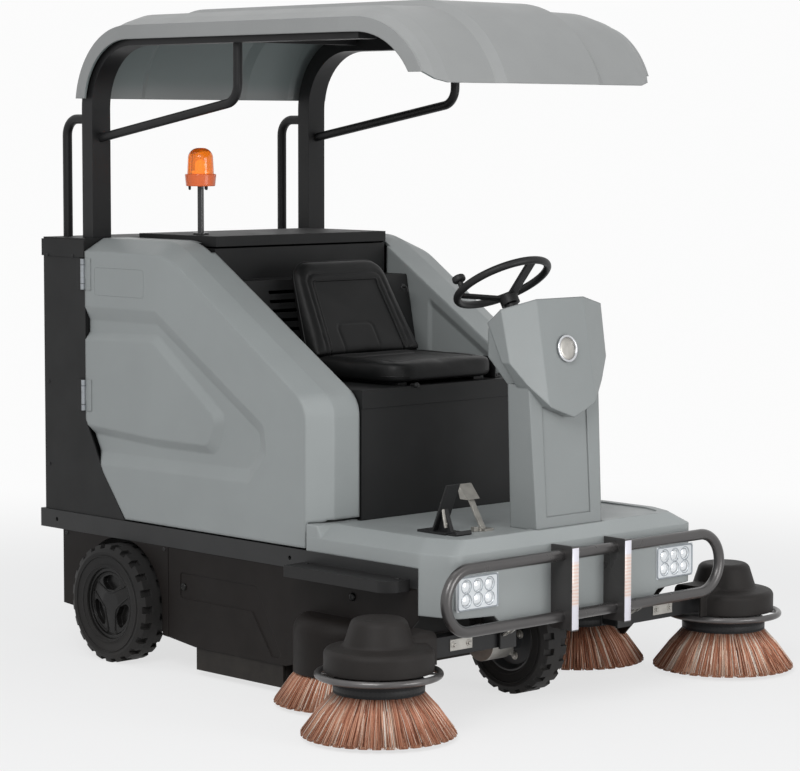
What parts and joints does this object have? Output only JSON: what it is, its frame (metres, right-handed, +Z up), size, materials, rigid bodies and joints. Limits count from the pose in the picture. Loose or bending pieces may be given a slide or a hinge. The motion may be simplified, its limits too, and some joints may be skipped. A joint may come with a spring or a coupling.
{
  "type": "ride-on street sweeper with canopy",
  "caption": "Compact ride-on street sweeper on three wheels with driver's canopy, side disc brushes, roller brush, opening side pods, top cover and rear door.",
  "frame": {"origin": "on the ground below the middle of the overall box", "axes": "+Z up, -Y the driving direction, +X to the driver's left"},
  "size_m": [1.9998, 2.1499, 2.15],
  "materials": {
    "body_grey": "satin moulded grey",
    "canopy_grey": "satin warm grey",
    "frame_black": "satin black powder coat",
    "skirt_black": "matt dark brown-black",
    "tyre_rubber": "matt",
    "flap_rubber": "matt",
    "rim_black": "satin",
    "steel_grey": "satin zinc",
    "tube_grey": "satin metallic",
    "hard_plastic": "matt black",
    "seat_cloth": "grained black vinyl",
    "lamp_chrome": "mirror reflectors",
    "beacon_orange": "orange-red gloss",
    "beacon_glass": "clear orange",
    "bristle": "red-brown and tan filaments",
    "battery_grey": "matt"
  },
  "bodies": {
    "body": {"chassis_frame": "frame_black", "rear_axle": "frame_black", "front_deck": "body_grey", "headlamps": "lamp_chrome", "rear_housing": "frame_black", "seat_base": "frame_black", "battery_pack": "battery_grey", "seat_bracket": "hard_plastic", "seat_cushion": "seat_cloth", "seat_back": "seat_cloth", "console": "body_grey", "steering_column": "hard_plastic", "accelerator_pedal": "hard_plastic", "brake_pedal": "steel_grey", "canopy_frame": "frame_black", "canopy_shell": "canopy_grey", "front_bumper": "tube_grey", "side_steps": "frame_black", "side_skirts": "skirt_black", "arch_plates": "skirt_black", "rubber_flaps": "flap_rubber", "lift_chains": "steel_grey"},
    "rear_wheel_left": {"rear_tyre_left": "tyre_rubber", "rear_rim_left": "rim_black"},
    "left_door": {"side_door_left": "body_grey"},
    "arm_left": {"brush_arm_left": "tube_grey", "brush_cover_left": "hard_plastic"},
    "outer_rotor_left": {"outer_brush_left": "bristle"},
    "inner_rotor_left": {"inner_brush_left": "bristle"},
    "rear_wheel_right": {"rear_tyre_right": "tyre_rubber", "rear_rim_right": "rim_black"},
    "right_door": {"side_door_right": "body_grey"},
    "arm_right": {"brush_arm_right": "tube_grey", "brush_cover_right": "hard_plastic"},
    "outer_rotor_right": {"outer_brush_right": "bristle"},
    "inner_rotor_right": {"inner_brush_right": "bristle"},
    "fork": {"front_fork": "steel_grey"},
    "front_wheel": {"front_tyre": "tyre_rubber", "front_rim": "rim_black"},
    "handwheel": {"steering_wheel": "hard_plastic"},
    "cover": {"top_cover": "frame_black", "beacon_base": "beacon_orange", "beacon_dome": "beacon_glass"},
    "hopper_door": {"rear_door": "frame_black"},
    "roller": {"main_brush": "bristle"}
  },
  "joints": [
    {"name": "rear_wheel_spin_left", "type": "hinge", "parent": "body", "child": "rear_wheel_left", "pos_m": [0.579, 0.61, 0.195], "axis": [1, 0, 0], "continuous": true},
    {"name": "left_door_swing", "type": "hinge", "parent": "body", "child": "left_door", "pos_m": [0.577, 0.7975, 0.9], "axis": [0, 0, 1], "range_deg": [0, 95]},
    {"name": "arm_lift_left", "type": "hinge", "parent": "body", "child": "arm_left", "pos_m": [0.262, -0.835, 0.235], "axis": [0, -1, 0], "range_deg": [0, 7]},
    {"name": "outer_brush_spin_left", "type": "hinge", "parent": "arm_left", "child": "outer_rotor_left", "pos_m": [0.772, -0.847, 0.15], "axis": [0, 0, 1], "continuous": true},
    {"name": "inner_brush_spin_left", "type": "hinge", "parent": "body", "child": "inner_rotor_left", "pos_m": [0.511, -0.431, 0.15], "axis": [0, 0, 1], "continuous": true},
    {"name": "rear_wheel_spin_right", "type": "hinge", "parent": "body", "child": "rear_wheel_right", "pos_m": [-0.579, 0.61, 0.195], "axis": [1, 0, 0], "continuous": true},
    {"name": "right_door_swing", "type": "hinge", "parent": "body", "child": "right_door", "pos_m": [-0.577, 0.7975, 0.9], "axis": [0, 0, -1], "range_deg": [0, 95]},
    {"name": "arm_lift_right", "type": "hinge", "parent": "body", "child": "arm_right", "pos_m": [-0.262, -0.835, 0.235], "axis": [0, 1, 0], "range_deg": [0, 7]},
    {"name": "outer_brush_spin_right", "type": "hinge", "parent": "arm_right", "child": "outer_rotor_right", "pos_m": [-0.772, -0.847, 0.15], "axis": [0, 0, 1], "continuous": true},
    {"name": "inner_brush_spin_right", "type": "hinge", "parent": "body", "child": "inner_rotor_right", "pos_m": [-0.511, -0.431, 0.15], "axis": [0, 0, 1], "continuous": true},
    {"name": "front_steer", "type": "hinge", "parent": "body", "child": "fork", "pos_m": [0, -0.655, 0.44], "axis": [0, 0, 1], "range_deg": [-60, 60]},
    {"name": "front_wheel_spin", "type": "hinge", "parent": "fork", "child": "front_wheel", "pos_m": [0, -0.655, 0.176], "axis": [1, 0, 0], "continuous": true},
    {"name": "steering_wheel_turn", "type": "hinge", "parent": "body", "child": "handwheel", "pos_m": [0, -0.585, 1.279], "axis": [0, 0.5, 0.866], "range_deg": [-180, 180]},
    {"name": "cover_lift", "type": "hinge", "parent": "body", "child": "cover", "pos_m": [0, 0.757, 1.378], "axis": [-1, 0, 0], "range_deg": [0, 60]},
    {"name": "rear_door_swing", "type": "hinge", "parent": "body", "child": "hopper_door", "pos_m": [0.538, 1.044, 0.9], "axis": [0, 0, -1], "range_deg": [0, 110]},
    {"name": "roller_spin", "type": "hinge", "parent": "body", "child": "roller", "pos_m": [0, 0.015, 0.164], "axis": [1, 0, 0], "continuous": true}
  ],
  "couplings": [
    {"joint": "steering_wheel_turn", "follows": "front_steer", "ratio": 3}
  ]
}
